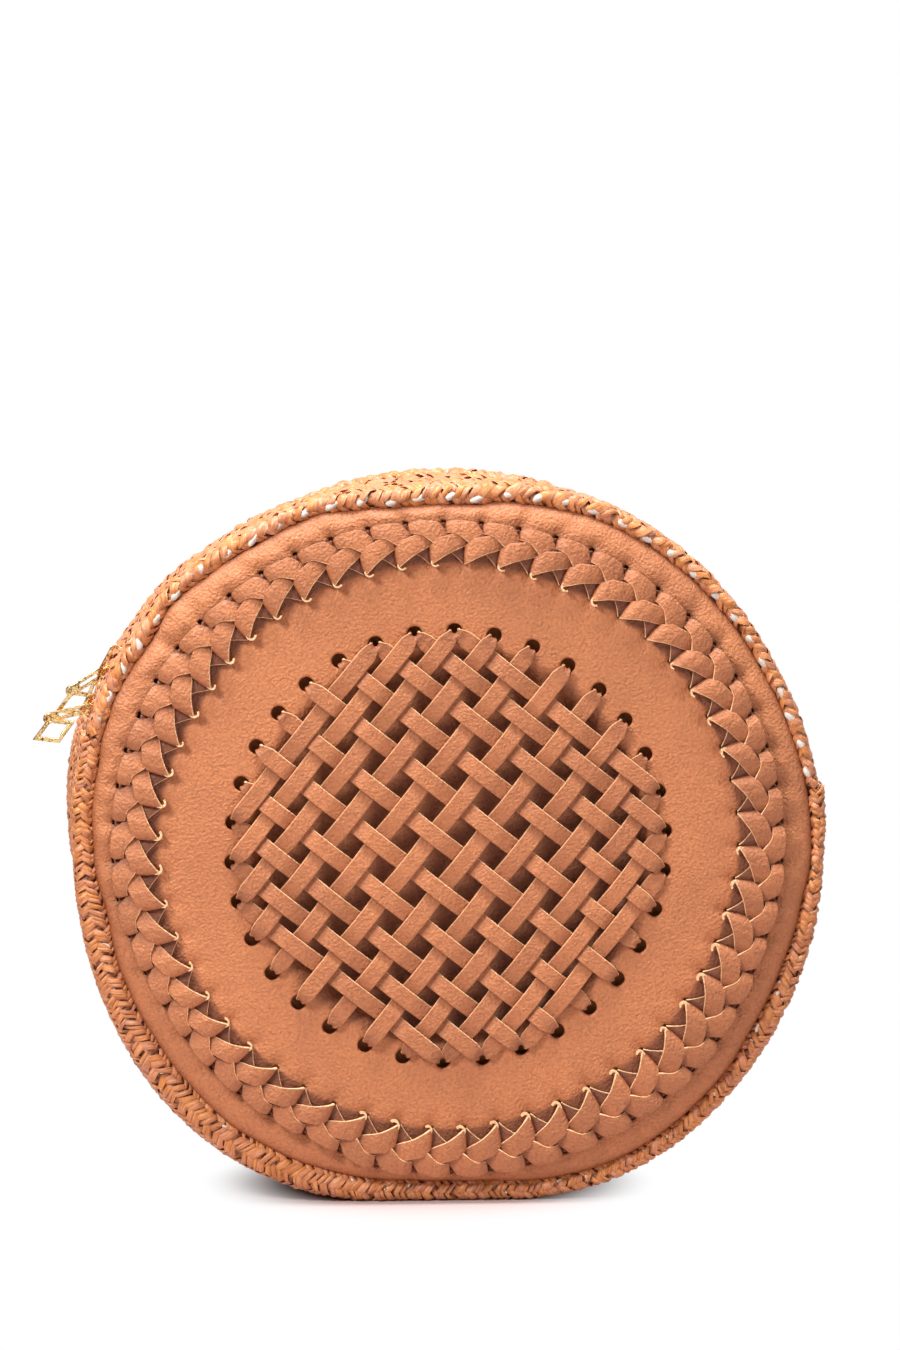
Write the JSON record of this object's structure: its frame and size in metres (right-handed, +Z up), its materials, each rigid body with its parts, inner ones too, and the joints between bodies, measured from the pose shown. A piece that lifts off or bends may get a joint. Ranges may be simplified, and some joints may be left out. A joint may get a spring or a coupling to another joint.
{
  "type": "round shoulder bag",
  "caption": "Round bag with a laced leather front, a plaited raffia gusset and a top zip with two sliders.",
  "frame": {"origin": "on the flat foot that the bag stands on, under the hub of its round body, halfway through its depth", "axes": "+Z up, -Y towards the laced front, +X to the right seen from the front"},
  "size_m": [0.2347, 0.0706, 0.2151],
  "materials": {
    "leather": "smooth tan leather with a fine grain, semi-matte",
    "lace": "smooth tan leather strips with pale raw edges",
    "raffia": "plaited raffia straw, orange brown, matte",
    "foam": "soft brown felt padding",
    "lining": "plain woven cotton lining",
    "zip_tape": "woven zip tape",
    "zip_metal": "polished zip teeth",
    "gold": "polished pale gold plating"
  },
  "bodies": {
    "root": {"front_panel": "leather", "back_panel": "leather", "ring_lace": "lace", "lower_gusset": "raffia", "zip_strip_front": "raffia", "zip_strip_back": "raffia", "front_padding": "foam", "back_padding": "foam", "front_lining": "lining", "back_lining": "lining", "lower_gusset_lining": "lining", "zip_strip_front_lining": "lining", "zip_strip_back_lining": "lining", "zip_tape_front": "zip_tape", "zip_tape_back": "zip_tape", "zip_chain_front": "zip_metal", "zip_chain_back": "zip_metal", "zip_stop_left": "zip_metal", "zip_stop_right": "zip_metal", "rising_strip_01": "lace", "rising_strip_02": "lace", "rising_strip_03": "lace", "rising_strip_04": "lace", "rising_strip_05": "lace", "rising_strip_06": "lace", "rising_strip_07": "lace", "rising_strip_08": "lace", "rising_strip_09": "lace", "rising_strip_10": "lace", "rising_strip_11": "lace", "rising_strip_12": "lace", "falling_strip_01": "lace", "falling_strip_02": "lace", "falling_strip_03": "lace", "falling_strip_04": "lace", "falling_strip_05": "lace", "falling_strip_06": "lace", "falling_strip_07": "lace", "falling_strip_08": "lace", "falling_strip_09": "lace", "falling_strip_10": "lace", "falling_strip_11": "lace"},
    "slider_lower": {"zip_slider_lower": "gold"},
    "slider_upper": {"zip_slider_upper": "gold"},
    "stem_lower": {"pull_stem_lower": "gold"},
    "stem_upper": {"pull_stem_upper": "gold"},
    "ring_lower": {"pull_ring_lower": "gold"},
    "ring_upper": {"pull_ring_upper": "gold"}
  },
  "joints": [
    {"name": "slider_lower_travel", "type": "hinge", "parent": "root", "child": "slider_lower", "pos_m": [0, 0, 0.1041], "axis": [0, 1, 0], "range_deg": [0, 68]},
    {"name": "slider_upper_travel", "type": "hinge", "parent": "slider_lower", "child": "slider_upper", "pos_m": [0, 0, 0.1041], "axis": [0, 1, 0], "range_deg": [0, 68]},
    {"name": "stem_lower_swing", "type": "hinge", "parent": "slider_lower", "child": "stem_lower", "pos_m": [-0.10633, 0, 0.14504], "axis": [0, -1, 0], "range_deg": [-60, 20]},
    {"name": "stem_upper_swing", "type": "hinge", "parent": "slider_upper", "child": "stem_upper", "pos_m": [-0.10124, 0, 0.15636], "axis": [0, -1, 0], "range_deg": [-90, 8]},
    {"name": "ring_lower_swing", "type": "hinge", "parent": "stem_lower", "child": "ring_lower", "pos_m": [-0.11854, 0, 0.14235], "axis": [0, -1, 0], "range_deg": [-120, 0]},
    {"name": "ring_upper_swing", "type": "hinge", "parent": "stem_upper", "child": "ring_upper", "pos_m": [-0.11184, 0, 0.14974], "axis": [0, -1, 0], "range_deg": [-120, 0]}
  ]
}
